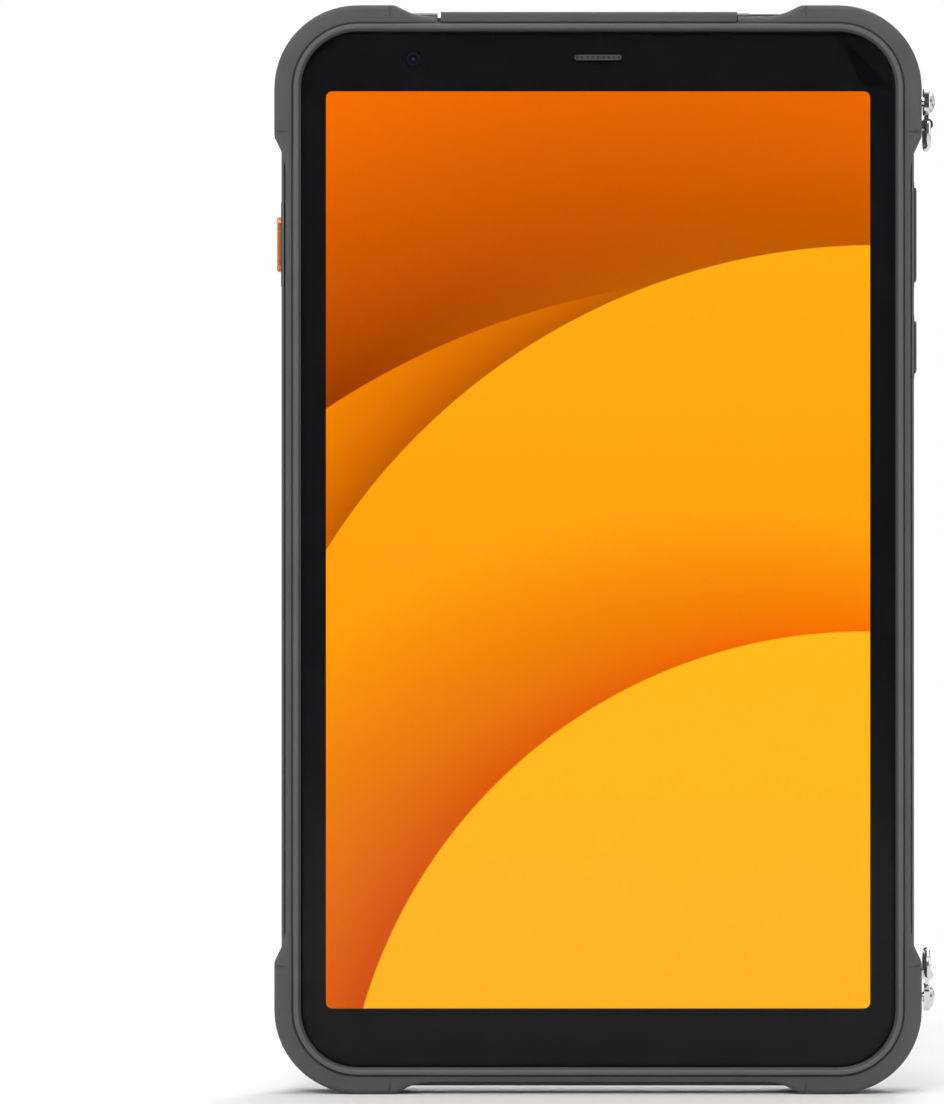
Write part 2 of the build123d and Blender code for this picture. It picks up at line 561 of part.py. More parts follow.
with BuildPart() as rear_gasket:
    slab(BAND_IN + FIT, LEDGE, COVER_FRONT)
    slab(LEDGE_IN, LEDGE, COVER_FRONT, Mode.SUBTRACT)
save(rear_gasket, "rear_gasket")


def strip_x(number):
    """The middle of a grip strip, counted from the camera's side."""
    return BLOCK_X - number * (STRIP_W + STRIP_GAP)


def strip(number, gap, front, rear, mode=Mode.ADD):
    """A grip strip, grown by gap all round; the first one slopes under the camera."""
    half = STRIP_W / 2 + gap
    x, radius = strip_x(number), STRIP_R + gap
    low, high = STRIP_BASE - gap, STRIP_TOP + gap
    left = right = high
    if number == 0:
        left, right = BODY_H - SLOPE_HIGH + gap, BODY_H - SLOPE_LOW + gap
    with BuildSketch(facing(rear, x, 0)) as outline:
        with BuildLine():
            Polyline((-half, low), (half, low), (half, right), (-half, left), close=True)
        make_face()
        fillet(outline.vertices(), radius)
    extrude(outline.sketch, amount=rear - front, mode=mode)


def camera_block(grow, rear, depth, mode=Mode.ADD):
    """The raised block round the cameras, with a round top and a sloping foot."""
    half = STRIP_W / 2 + grow
    top, low, shoulder = STRIP_TOP + grow, BODY_H - PLATE_LOW - grow, BODY_H - PLATE_SHOULDER - grow
    with BuildSketch(facing(rear, BLOCK_X, 0)) as outline:
        with BuildLine():
            Polyline((-half, shoulder), (half, low), (half, top), (-half, top), close=True)
        make_face()
        fillet(outline.vertices().group_by(Axis.Y)[-1], half - FIT)
        fillet([v for v in outline.vertices() if v.Y <= shoulder + FIT], BLOCK_FOOT_R)
    extrude(outline.sketch, amount=depth, mode=mode)


OPTICS = ((LAMP_DOWN, RING_R), (CAMERA_DOWN, RING_R), (FLASH_DOWN, FLASH_R))

with BuildPart() as rear_cover:
    slab(BAND_IN + FIT, COVER_FRONT, COVER_REAR)
    fillet(edges_at(COVER_REAR), EDGE_R)
    for number in range(STRIPS):
        strip(number, FIT, STRIP_FLOOR, COVER_REAR, Mode.SUBTRACT)
    camera_block(FIT, COVER_REAR, STRIP_SINK, Mode.SUBTRACT)
    for down, radius in OPTICS:
        drum(BLOCK_X, BODY_H - down, radius, COVER_FRONT, COVER_REAR, Mode.SUBTRACT)
save(rear_cover, "rear_cover")

for number in range(STRIPS):
    with BuildPart() as grip_strip:
        strip(number, 0, STRIP_FLOOR, STRIP_FLOOR + STRIP_T)
        fillet(crest().edges(), EDGE_R)
    save(grip_strip, f"grip_strip_{number + 1}")

WINDOW_Z = BODY_H - WINDOW_DOWN
with BuildPart() as camera_block_plate:
    camera_block(0, BLOCK_REAR, BLOCK_REAR - STRIP_FLOOR)
    chamfer(crest().edges(), PLATE_BEVEL)
    sunk = facing(BLOCK_REAR, BLOCK_X, WINDOW_Z)
    slot_bar(sunk, WINDOW_W + 2 * RUN, WINDOW_H + 2 * RUN, WINDOW_SINK, Mode.SUBTRACT)
    for down, radius in OPTICS:
        drum(BLOCK_X, BODY_H - down, radius, STRIP_FLOOR, BLOCK_REAR, Mode.SUBTRACT)
save(camera_block_plate, "camera_plate")

WINDOW_REAR = WINDOW_FLOOR + WINDOW_T
with BuildPart() as camera_window:
    slot_bar(facing(WINDOW_REAR, BLOCK_X, WINDOW_Z), WINDOW_W, WINDOW_H, WINDOW_T)
    fillet(crest().edges(), WINDOW_EDGE)
    for down in (LAMP_DOWN, CAMERA_DOWN):
        drum(BLOCK_X, BODY_H - down, RING_R, WINDOW_FLOOR, WINDOW_REAR, Mode.SUBTRACT)
save(camera_window, "camera_window")

RING_REAR = WINDOW_REAR + FIT
RING_BASE = COVER_FRONT + FIT
with BuildPart() as camera_rings:
    for down, radius in ((LAMP_DOWN, LAMP_R), (CAMERA_DOWN, LENS_R)):
        drum(BLOCK_X, BODY_H - down, RING_R - RUN, RING_BASE, RING_REAR)
        drum(BLOCK_X, BODY_H - down, radius + RUN, RING_BASE, RING_REAR, Mode.SUBTRACT)
    mouths = edges_at(RING_REAR).filter_by(lambda e: e.radius < RING_R - 1)
    chamfer(mouths, RING_MOUTH)
save(camera_rings, "camera_rings")

LENS_REAR = RING_REAR - LENS_SINK
with BuildPart() as camera_lens:
    drum(BLOCK_X, BODY_H - CAMERA_DOWN, LENS_R, LENS_REAR - LENS_T, LENS_REAR)
    fillet(crest().edges(), EDGE_R)
save(camera_lens, "camera_lens")

with BuildPart() as torch_lamp:
    drum(BLOCK_X, BODY_H - LAMP_DOWN, LAMP_R, COVER_FRONT, LENS_REAR)
    fillet(crest().edges(), LAMP_EDGE)
save(torch_lamp, "torch_lamp")

with BuildPart() as flash_lens:
    drum(BLOCK_X, BODY_H - FLASH_DOWN, FLASH_R - RUN, COVER_FRONT, BLOCK_REAR + FIT)
    fillet(crest().edges(), EDGE_R)
save(flash_lens, "flash_lens")

# The camera module stands on the chassis, its barrel in the ring, its light on a board.
MODULE_W, MODULE_BARREL_R = 9.0, 1.7
with BuildPart() as rear_camera:
    module_x = (BLOCK_X - MODULE_W / 2, BLOCK_X + MODULE_W / 2)
    camera_z = BODY_H - CAMERA_DOWN
    block(module_x, (FLOOR, LED_BOARD_FRONT), (camera_z - MODULE_W / 2, camera_z + MODULE_W / 2))
    drum(BLOCK_X, camera_z, MODULE_BARREL_R, LED_BOARD_FRONT, LENS_REAR - LENS_T)
save(rear_camera, "rear_camera")

with BuildPart() as flash_board:
    x = (BLOCK_X - LED_BOARD_HALF, BLOCK_X + LED_BOARD_HALF)
    z = (BODY_H - FLASH_DOWN - LED_BOARD_HALF, BODY_H - LAMP_DOWN + LED_BOARD_HALF)
    block(x, (LED_BOARD_FRONT, COVER_FRONT), z)
    drum(BLOCK_X, camera_z, MODULE_BARREL_R + FIT, LED_BOARD_FRONT, COVER_FRONT, Mode.SUBTRACT)
save(flash_board, "flash_board")


# ---- Boards, battery and what fills the case ----------------------------------------
CARD_Y = (BOARD_REAR, BOARD_REAR + CARD_T)
PORT_TOP = DECK - FIT
JACK_LOW = PORT_TOP - JACK_L

with BuildPart() as main_board:
    block((-BOARD_W / 2, BOARD_W / 2), (BOARD_FRONT, BOARD_REAR), BOARD_Z)
    notch_x = (JACK_X - JACK_W / 2 - FIT, JACK_X + JACK_W / 2 + FIT)
    block(notch_x, (BOARD_FRONT, BOARD_REAR), (JACK_LOW - FIT, BODY_H), Mode.SUBTRACT)
    notch_x = (USB_X - USB_W / 2 - FIT, USB_X + USB_W / 2 + FIT)
    block(notch_x, (BOARD_FRONT, BOARD_REAR), (PORT_TOP - USB_L, BODY_H), Mode.SUBTRACT)
    for x, z in board_posts():
        drum(x, z, SCREW_R + FIT, BOARD_FRONT, BOARD_REAR, Mode.SUBTRACT)
save(main_board, "main_board")

with BuildPart() as board_screws:
    for x, z in board_posts():
        drum(x, z, SCREW_HEAD_R, BOARD_REAR, BOARD_REAR + SCREW_HEAD_T)
        drum(x, z, SCREW_R, BOARD_REAR - BOARD_SCREW_L, BOARD_REAR)
save(board_screws, "board_screws")

# three cans: processor, power and radio; x from the board's left edge, z from its foot
CANS = ((8.0, 26.0, 8.0, 30.0), (37.0, 22.0, 8.0, 24.0), (37.0, 22.0, 34.0, 13.0))
with BuildPart() as shield_cans:
    for right, wide, up, tall in CANS:
        x, z = right - BOARD_W / 2 + wide / 2, BOARD_Z[0] + up + tall / 2
        plaque(facing(BOARD_REAR + CAN_T, x, z), wide, tall, CAN_R, CAN_T)
        face = faces().filter_by_position(Axis.Y, BOARD_REAR + CAN_T, BOARD_REAR + CAN_T)
    chamfer(face.edges(), CAN_EDGE)
save(shield_cans, "shield_cans")

with BuildPart() as battery:
    tall = BATTERY_Z[1] - BATTERY_Z[0]
    cell_rear = COVER_FRONT - BATTERY_SWELL
    cell = facing(cell_rear, 0, sum(BATTERY_Z) / 2)
    plaque(cell, BATTERY_W, tall, BATTERY_R, cell_rear - FLOOR)
    fillet(crest().edges(), BATTERY_ROUND)
save(battery, "battery")

with BuildPart() as sub_board:
    block((SUB_LEFT, SUB_RIGHT), (BOARD_FRONT, BOARD_REAR), (SUB_BASE, SUB_BASE + SUB_H))
    # two bosses under it, moulded to the board
    for x in (SUB_LEFT + 2 * POST_R, SUB_RIGHT - 2 * POST_R):
        drum(x, SUB_BASE + SUB_H / 2, POST_R, FLOOR, BOARD_FRONT)
    # the microphone
    mic_span = (MIC_X - MIC_W / 2, MIC_X + MIC_W / 2)
    block(mic_span, (BOARD_REAR, BOARD_REAR + MIC_T), (SUB_BASE, SUB_BASE + MIC_W))
save(sub_board, "sub_board")

with BuildPart() as loudspeaker:
    speaker_y = (RAIL_Y - SPEAKER_T / 2, RAIL_Y + SPEAKER_T / 2)
    speaker_x = (SPEAKER_X - SPEAKER_W / 2, SPEAKER_X + SPEAKER_W / 2)
    speaker_z = (CHASSIS_IN + MESH_T, CHASSIS_IN + MESH_T + SPEAKER_H)
    block(speaker_x, (FLOOR, speaker_y[1]), speaker_z)
    fillet(edges().filter_by(Axis.Y), SPEAKER_R)
save(loudspeaker, "loudspeaker")

with BuildPart() as speaker_mesh:
    span = SPEAKER_PITCH * SPEAKER_HOLES / 2
    mesh_y = (RAIL_Y - SPEAKER_PITCH / 2, RAIL_Y + SPEAKER_PITCH / 2)
    block((SPEAKER_X - span, SPEAKER_X + span), mesh_y, (CHASSIS_IN, CHASSIS_IN + MESH_T))
save(speaker_mesh, "speaker_mesh")

with BuildPart() as vibration_motor:
    drum(MOTOR_X, MOTOR_Z, MOTOR_R, FLOOR, FLOOR + MOTOR_T)
save(vibration_motor, "vibration_motor")

with BuildPart() as gnss_antenna:
    gnss_z = BODY_H - GNSS_DOWN
    patch = facing(FLOOR + GNSS_T, GNSS_X, gnss_z)
    plaque(patch, GNSS_W, GNSS_W, MODULE_R, GNSS_T)
    chamfer(crest().edges(), EDGE_R)
save(gnss_antenna, "gnss_antenna")

# from the screen, through the chassis floor and onto the main board
with BuildPart() as display_flex:
    x = (-FLEX_W / 2, FLEX_W / 2)
    back = BOARD_REAR + FLEX_T
    block(x, (PLATE_FRONT, back), (flex_z[1] - FLEX_T - FIT, flex_z[1] - FIT))
    block(x, (BOARD_REAR, back), (flex_z[1] - FLEX_T - FIT, BOARD_Z[0] + FLEX_W / 2))
save(display_flex, "display_flex")

# ---- Ports under the cover ----------------------------------------------------------
with BuildPart() as usb_c_port:
    top = Plane(origin=(USB_X, RAIL_Y, PORT_TOP - USB_L), x_dir=(1, 0, 0), z_dir=(0, 0, 1))
    slot_bar(top, USB_W, USB_T, USB_L)
    slot_bar(top.offset(USB_BACK), USB_W - 2 * USB_WALL, USB_T - 2 * USB_WALL, USB_L, Mode.SUBTRACT)
    plaque(top.offset(USB_BACK), *USB_TONGUE)
save(usb_c_port, "usb_c_port")

with BuildPart() as audio_jack:
    foot = Plane(origin=(JACK_X, RAIL_Y, JACK_LOW), x_dir=(1, 0, 0), z_dir=(0, 0, 1))
    nose_l = CHASSIS_IN - (BODY_H - DECK) + FIT
    plaque(foot, JACK_W, 2 * JACK_NOSE_R, MODULE_R, JACK_L - nose_l)
    disc(foot, JACK_NOSE_R, JACK_L)
    disc(foot.offset(JACK_L - JACK_BORE), JACK_R, JACK_BORE, Mode.SUBTRACT)
save(audio_jack, "audio_jack")

with BuildPart() as card_reader:
    card_top = BODY_H - CHASSIS_IN - FIT
    wide, wall = (CARD_X - CARD_W / 2, CARD_X + CARD_W / 2), CARD_WALL
    block(wide, CARD_Y, (card_top - CARD_L, card_top))
    inside = (wide[0] + wall, wide[1] - wall), (CARD_Y[0] + wall, CARD_Y[1] - wall)
    block(*inside, (card_top - CARD_L + 2 * wall, card_top), Mode.SUBTRACT)
save(card_reader, "card_reader")

# ---- Port cover ---------------------------------------------------------------------
with BuildPart() as port_cover:
    lip_rear = PARTING + COVER_LIP
    block((COVER_LEFT, COVER_RIGHT), (FACE + FIT, lip_rear), (LID_BASE, RAIL_TOP))
    lid_edges = edges().filter_by(Axis.X).group_by(Axis.Z)[-1]
    fillet(lid_edges, LID_ROUND)
    front_lip = (FACE + FIT, PLATE_FRONT - FIT)
    block((COVER_LEFT, COVER_RIGHT), front_lip, (CREASE_TOP + COVER_FRONT_GAP, LID_BASE))
    rear_lip = (PARTING + FIT, lip_rear)
    block((COVER_LEFT, COVER_RIGHT), rear_lip, (RAIL_TOP - COVER_REAR_DROP, LID_BASE))
    # the strap to the hinge, and its knuckle
    strap_y = (RAIL_Y - KNUCKLE_W / 2, RAIL_Y + KNUCKLE_W / 2)
    block((HINGE_X, COVER_LEFT), strap_y, (DECK + FIT, LID_BASE + STRAP_ROOT))
    drum(HINGE_X, HINGE_Z, KNUCKLE_R, *strap_y)
    drum(HINGE_X, HINGE_Z, HINGE_PIN_R + RUN, *strap_y, Mode.SUBTRACT)
save(port_cover, "port_cover")

with BuildPart() as port_pad:
    pad = Plane(origin=(0, RAIL_Y, LID_BASE - PAD_T), x_dir=(1, 0, 0), z_dir=(0, 0, 1))
    with BuildSketch(pad) as outline:
        with Locations(((COVER_LEFT + COVER_RIGHT) / 2, 0)):
            pad_w = PARTING - RAIL_FRONT - 6 * FIT
            RectangleRounded(COVER_RIGHT - COVER_LEFT - 2 * PAD_MARGIN, pad_w, PAD_R)
    extrude(amount=PAD_T)
save(port_pad, "port_pad")

with BuildPart() as port_cover_pin:
    drum(HINGE_X, HINGE_Z, HINGE_PIN_R, RAIL_FRONT + FIT, PARTING - FIT)
save(port_cover_pin, "port_cover_pin")

# ---- Keys, their seals, boards and switches -----------------------------------------
KEY_BASE = WELL_FLOOR + KEY_TRAVEL + FIT


def key_body(hand, key, proud):
    """A key cap in its well, with a plunger for each switch behind it."""
    top = RAIL_X + proud
    plaque(sideways(KEY_BASE, key[2], hand), KEY_W, key[0], KEY_R, top - KEY_BASE)
    rim = faces().filter_by_position(Axis.X, hand * top - FIT, hand * top + FIT)
    fillet(rim.edges(), KEY_ROUND)
    for z in plungers(key):
        disc(sideways(WALL_X, z, hand), PLUNGER_R, KEY_BASE - WALL_X)


with BuildPart() as volume_rocker:
    key_body(1, VOLUME, KEY_PROUD)
    dish = sideways(RAIL_X + KEY_PROUD - ROCKER_DISH, VOLUME[2])
    plaque(dish, KEY_W - KEY_R, VOLUME[0] / 2, DISH_R, OUTSIDE, Mode.SUBTRACT)
save(volume_rocker, "volume_rocker")

with BuildPart() as power_key:
    key_body(1, POWER, KEY_PROUD)
save(power_key, "power_key")

with BuildPart() as custom_key:
    key_body(-1, CUSTOM, CUSTOM_PROUD)
save(custom_key, "custom_key")

for name, (hand, key, _) in zip(("volume_seal", "power_seal", "custom_seal"), KEYS):
    with BuildPart() as seal:
        well = sideways(WELL_FLOOR, key[2], hand)
        deep = WELL_D + SEAL_PROUD
        plaque(well, WELL_W - RUN, key[1] - RUN, WELL_R - RUN / 2, deep)
        plaque(well, KEY_W + 2 * KEY_GAP, key[0] + 2 * KEY_GAP, KEY_R + KEY_GAP, deep, Mode.SUBTRACT)
    save(seal, name)

with BuildPart() as key_boards:
    board_x = SWITCH_X - SWITCH_T - KEY_BOARD_T
    for hand, keys in ((1, (VOLUME, POWER)), (-1, (CUSTOM,))):
        low = min(key[2] - key[1] / 2 for key in keys)
        high = max(key[2] + key[1] / 2 for key in keys)
        board = sorted((hand * board_x, hand * (board_x + KEY_BOARD_T)))
        block(board, (FLOOR, RAIL_Y + SWITCH_W / 2), (low, high))
save(key_boards, "key_boards")

with BuildPart() as key_switches:
    for hand, key, _ in KEYS:
        for z in plungers(key):
            plane = sideways(SWITCH_X - SWITCH_T, z, hand)
            plaque(plane, SWITCH_W, SWITCH_W, EDGE_R, SWITCH_T)
save(key_switches, "key_switches")

# ---- Strap lugs and their rings -----------------------------------------------------
with BuildPart() as lug_inserts:
    for z in (LUG_END, BODY_H - LUG_END):
        foot = sideways(HALF_W - FIT - INSERT_L, z)
        disc(foot, INSERT_R, INSERT_L)
        disc(foot, STUD_R + RUN / 2, INSERT_L, Mode.SUBTRACT)
save(lug_inserts, "lug_inserts")

DOME_RISE = HEAD_T - HEAD_RIM
DOME_R = (DOME_RISE**2 + HEAD_R**2) / (2 * DOME_RISE)
with BuildPart() as lug_screws:
    for z in (LUG_END, BODY_H - LUG_END):
        disc(sideways(HALF_W - FIT - INSERT_L, z), STUD_R, INSERT_L + FIT + LUG_GAP + LUG_T)
        with BuildSketch(facing(RAIL_Y, LUG_X + LUG_T, z)) as dome:
            with BuildLine():
                Line((0, 0), (0, HEAD_R))
                Line((0, HEAD_R), (HEAD_RIM, HEAD_R))
                RadiusArc((HEAD_RIM, HEAD_R), (HEAD_T, 0), DOME_R)
                Line((HEAD_T, 0), (0, 0))
            make_face()
        revolve(dome.sketch, axis=Axis((0, RAIL_Y, z), (1, 0, 0)))
        socket = sideways(LUG_X + LUG_T + HEAD_T - SOCKET_D, z)
        with BuildSketch(socket) as hexagon:
            RegularPolygon(SOCKET_R, 6)
        extrude(hexagon.sketch, amount=SOCKET_D + FIT, mode=Mode.SUBTRACT)
save(lug_screws, "lug_screws")


def lug(z, way):
    """A lug on its screw at height z, its eye below for way -1 and above for +1."""
    middle = z + way * (LUG_FOOT - LUG_TOP) / 2
    plaque(sideways(LUG_X, middle), LUG_W, LUG_TOP + LUG_FOOT, LUG_R, LUG_T)
    fillet(edges().filter_by_position(Axis.X, LUG_X + LUG_T - FIT, LUG_X + LUG_T + FIT), EDGE_R)
    eye_z = z + way * EYE_DROP
    neck_x = (EYE_AXIS_X - NECK_T / 2, EYE_AXIS_X + NECK_T / 2)
    neck_y = (RAIL_Y - NECK_W / 2, RAIL_Y + NECK_W / 2)
    block(neck_x, neck_y, sorted((z + way * (LUG_FOOT - FIT), eye_z)))
    eye_y = (RAIL_Y - EYE_W / 2, RAIL_Y + EYE_W / 2)
    drum(EYE_AXIS_X, eye_z, EYE_R, *eye_y)
    drum(EYE_AXIS_X, eye_z, WIRE_R + RUN, *eye_y, Mode.SUBTRACT)
    disc(sideways(LUG_X, z), STUD_R + RUN, LUG_T, Mode.SUBTRACT)


def ring(z, way):
    """A D-ring hung from an eye at height z, its bow towards way."""
    frame = Plane(origin=(EYE_AXIS_X, RAIL_Y, z), x_dir=(0, 1, 0), z_dir=(1, 0, 0))
    half, low = RING_HALF_W, way * RING_DROP
    with BuildLine(frame) as bow:
        FilletPolyline((-half, 0), (-half, low), (half, low), (half, 0), radius=RING_BEND)
    start = Plane(origin=(EYE_AXIS_X, RAIL_Y - half, z), z_dir=(0, 0, way))
    with BuildSketch(start) as section:
        Circle(WIRE_R)
    sweep(section.sketch, path=bow.wire())
    drum(EYE_AXIS_X, z, WIRE_R, RAIL_Y - half, RAIL_Y + half)
    with Locations((EYE_AXIS_X, RAIL_Y - half, z), (EYE_AXIS_X, RAIL_Y + half, z)):
        Sphere(WIRE_R)


for name, z, way in (("top", BODY_H - LUG_END, -1), ("bottom", LUG_END, 1)):
    with BuildPart() as strap_lug:
        lug(z, way)
    save(strap_lug, f"strap_lug_{name}")
    with BuildPart() as strap_ring:
        ring(z + way * EYE_DROP, way)
    save(strap_ring, f"strap_ring_{name}")
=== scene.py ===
"""Looks of the rugged data collector: a Blender 4.5 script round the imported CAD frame, in metres."""

from math import atan2, cos, pi, sin

import bmesh
import bpy
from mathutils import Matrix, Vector


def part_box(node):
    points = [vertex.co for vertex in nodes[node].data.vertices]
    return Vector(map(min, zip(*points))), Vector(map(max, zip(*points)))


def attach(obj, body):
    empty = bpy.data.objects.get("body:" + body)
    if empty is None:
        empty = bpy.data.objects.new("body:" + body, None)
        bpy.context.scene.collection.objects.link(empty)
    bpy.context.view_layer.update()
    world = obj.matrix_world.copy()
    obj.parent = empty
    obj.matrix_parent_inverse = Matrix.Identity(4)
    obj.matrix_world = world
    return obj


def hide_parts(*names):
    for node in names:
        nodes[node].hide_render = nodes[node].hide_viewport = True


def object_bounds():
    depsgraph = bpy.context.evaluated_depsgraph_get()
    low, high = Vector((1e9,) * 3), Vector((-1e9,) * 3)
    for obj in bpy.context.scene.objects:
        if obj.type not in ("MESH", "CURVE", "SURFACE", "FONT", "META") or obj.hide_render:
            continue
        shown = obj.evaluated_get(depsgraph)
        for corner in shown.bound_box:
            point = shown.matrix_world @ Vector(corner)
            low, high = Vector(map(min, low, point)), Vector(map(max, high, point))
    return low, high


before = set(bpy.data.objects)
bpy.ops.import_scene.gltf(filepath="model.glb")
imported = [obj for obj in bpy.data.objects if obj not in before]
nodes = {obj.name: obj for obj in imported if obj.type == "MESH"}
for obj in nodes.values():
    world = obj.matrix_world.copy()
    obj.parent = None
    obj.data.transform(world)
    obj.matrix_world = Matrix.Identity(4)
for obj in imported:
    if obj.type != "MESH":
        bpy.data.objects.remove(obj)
cad_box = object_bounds()
scene = bpy.context.scene

MM = 0.001  # metres in a millimetre
WHITE = (1.0, 1.0, 1.0)


# ---------------------------------------------------------------- places read from the frame

def middle(node):
    """The centre of a node's box."""
    low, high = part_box(node)
    return (low + high) / 2


BODY = middle("front_bezel")          # the body's middle, clear of the strap lugs
FRONT_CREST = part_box("front_bezel")[0].y
REAR_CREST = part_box("rear_surround")[1].y
COVER_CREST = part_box("rear_cover")[1].y
PLATE_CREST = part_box("camera_plate")[1].y
STRIP_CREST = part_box("grip_strip_2")[1].y

PANEL_EDGE, PANEL_CHIN = 1.6 * MM, 3.8 * MM     # what the mask hides round the panel, and below it
PANEL_LOW, PANEL_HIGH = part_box("display_panel")
SCREEN_LOW = PANEL_LOW + Vector((PANEL_EDGE, 0, PANEL_CHIN))
SCREEN_HIGH = PANEL_HIGH - Vector((PANEL_EDGE, 0, PANEL_EDGE))


# ---------------------------------------------------------------- shader nodes

def feed(tree, value, socket):
    """Sets a socket to a number, a vector or a colour, or links it to another socket."""
    if isinstance(value, bpy.types.NodeSocket):
        tree.links.new(value, socket)
    elif socket.type == "RGBA":
        socket.default_value = (*value, 1)
    else:
        socket.default_value = value


def maths(tree, operation, *values, clamp=False):
    """A sum on numbers."""
    made = tree.nodes.new("ShaderNodeMath")
    made.operation, made.use_clamp = operation, clamp
    for value, socket in zip(values, made.inputs):
        feed(tree, value, socket)
    return made.outputs[0]


def vectors(tree, operation, *values):
    """A sum on vectors."""
    made = tree.nodes.new("ShaderNodeVectorMath")
    made.operation = operation
    for value, socket in zip(values, made.inputs):
        feed(tree, value, socket)
    return made.outputs["Value" if operation == "LENGTH" else "Vector"]


def parts_of(tree, vector):
    """The X, Y and Z of a vector."""
    made = tree.nodes.new("ShaderNodeSeparateXYZ")
    feed(tree, vector, made.inputs[0])
    return made.outputs


NOISE_LOW, NOISE_HIGH = 0.3, 0.7        # where most of a noise pattern lies


def remap(tree, value, low, high, start=NOISE_LOW, end=NOISE_HIGH):
    """The value from start..end moved to low..high."""
    made = tree.nodes.new("ShaderNodeMapRange")
    ends = {"From Min": start, "From Max": end, "To Min": low, "To Max": high, "Value": value}
    for name, number in ends.items():
        feed(tree, number, made.inputs[name])
    return made.outputs["Result"]


def noise(tree, place, size, detail=3.0, stretch=None):
    """A noise pattern with features about size mm across."""
    made = tree.nodes.new("ShaderNodeTexNoise")
    made.inputs["Scale"].default_value = 1 / size
    made.inputs["Detail"].default_value = detail
    feed(tree, vectors(tree, "MULTIPLY", place, stretch) if stretch else place, made.inputs["Vector"])
    return made.outputs["Fac"]


def mix(tree, share, first, second, way="MIX"):
    """One colour fading into another by share, or multiplied by it."""
    made = tree.nodes.new("ShaderNodeMix")
    made.data_type, made.blend_type = "RGBA", way
    feed(tree, share, made.inputs["Factor"])
    for colour, socket in zip((first, second), [s for s in made.inputs if s.type == "RGBA"]):
        feed(tree, colour, socket)
    return [s for s in made.outputs if s.type == "RGBA"][0]


def stepped(tree, value, stops):
    """A colour that follows a value from 0 to 1 through stops: (value, grey or colour)."""
    ramp = tree.nodes.new("ShaderNodeValToRGB")
    feed(tree, value, ramp.inputs["Fac"])
    points = ramp.color_ramp.elements
    stops = [(where, tone if isinstance(tone, tuple) else (tone,) * 3) for where, tone in stops]
    for point, (where, tone) in zip(points, (stops[0], stops[-1])):
        point.position, point.color = where, (*tone, 1)
    for where, tone in stops[1:-1]:
        points.new(where).color = (*tone, 1)
    return ramp.outputs["Color"]


def blend(tree, share, first, second):
    """One shader fading into another by share."""
    made = tree.nodes.new("ShaderNodeMixShader")
    for value, socket in zip((share, first, second), made.inputs):
        feed(tree, value, socket)
    return made.outputs[0]


def radius_from(tree, place, centre, axes=(1, 0, 1)):
    """The distance in mm from a line through the centre, which lies along Y by default."""
    shift = vectors(tree, "SUBTRACT", place, tuple(c / MM for c in centre))
    return vectors(tree, "LENGTH", vectors(tree, "MULTIPLY", shift, axes))


# ---------------------------------------------------------------- camera and light

LENS = 200.0                # mm, long enough to show the front without perspective
SENSOR = 36.0               # mm, along the taller side of the picture
VIEW_TALL = 0.21108         # height of the view where the front face is
VIEW_ASIDE = -0.02414       # the view's centre, left of the body's middle
VIEW_LOW = -0.0005          # and below it


def make_camera():
    data = bpy.data.cameras.new("camera")
    data.lens, data.sensor_width = LENS, SENSOR
    camera = bpy.data.objects.new("camera", data)
    scene.collection.objects.link(camera)
    away = LENS / SENSOR * VIEW_TALL
    camera.location = (BODY.x + VIEW_ASIDE, FRONT_CREST - away, BODY.z + VIEW_LOW)
    camera.rotation_euler = (pi / 2, 0, 0)
    scene.camera = camera


LAMPS = (  # name, place, side, watts
    ("front", (-0.25, -0.95, 0.86), 0.5, 6.4),
    ("rear", (0.30, 0.95, 0.86), 0.5, 6.4),
    ("left", (-1.00, -0.35, 0.35), 0.5, 1.2),
    ("right", (1.00, -0.25, 0.35), 0.5, 1.2),
    ("top", (0.0, 0.0, 1.30), 0.8, 7.0),
)


def make_lamps():
    """Soft square lamps that face the body."""
    for name, place, side, power in LAMPS:
        data = bpy.data.lights.new(name, "AREA")
        data.shape, data.size, data.energy = "SQUARE", side, power
        lamp = bpy.data.objects.new(name, data)
        scene.collection.objects.link(lamp)
        lamp.location = place
        lamp.rotation_euler = (BODY - Vector(place)).to_track_quat("-Z", "Y").to_euler()


WORLD_FILL = 0.32           # the sky's light on matt surfaces
MIRRORED = ((0.0, 0.95), (0.78, 0.85), (0.93, 0.10), (1.0, 0.07))   # how far to the front or back: grey


def make_world():
    """A pale sky, white to the eye; what shines shows it dark in front of the object and behind."""
    world = bpy.data.worlds.new("studio")
    world.use_nodes = True
    tree = world.node_tree
    tree.nodes.clear()

    def light(colour, strength=1.0):
        made = tree.nodes.new("ShaderNodeBackground")
        feed(tree, strength, made.inputs["Strength"])
        feed(tree, colour, made.inputs["Color"])
        return made.outputs[0]

    place = tree.nodes.new("ShaderNodeTexCoord").outputs["Generated"]
    mirrored = stepped(tree, maths(tree, "ABSOLUTE", parts_of(tree, place)["Y"]), MIRRORED)
    ray = tree.nodes.new("ShaderNodeLightPath").outputs
    sky = blend(tree, ray["Is Glossy Ray"], light(WHITE, WORLD_FILL), light(mirrored))
    sky = blend(tree, ray["Is Camera Ray"], sky, light(WHITE))
    sky = blend(tree, ray["Is Transmission Ray"], sky, light(WHITE))
    feed(tree, sky, tree.nodes.new("ShaderNodeOutputWorld").inputs["Surface"])
    scene.world = world


# ---------------------------------------------------------------- finishes

def graph(name):
    """A new material: itself, its node tree, its Principled shader and the place in millimetres."""
    made = bpy.data.materials.new(name)
    made.use_nodes = True
    tree = made.node_tree
    place = tree.nodes.new("ShaderNodeTexCoord").outputs["Object"]
    return made, tree, tree.nodes["Principled BSDF"], vectors(tree, "MULTIPLY", place, (1 / MM,) * 3)


def shade(colour, by):
    """The same hue, lighter or darker."""
    return tuple(min(1.0, c * by) for c in colour)


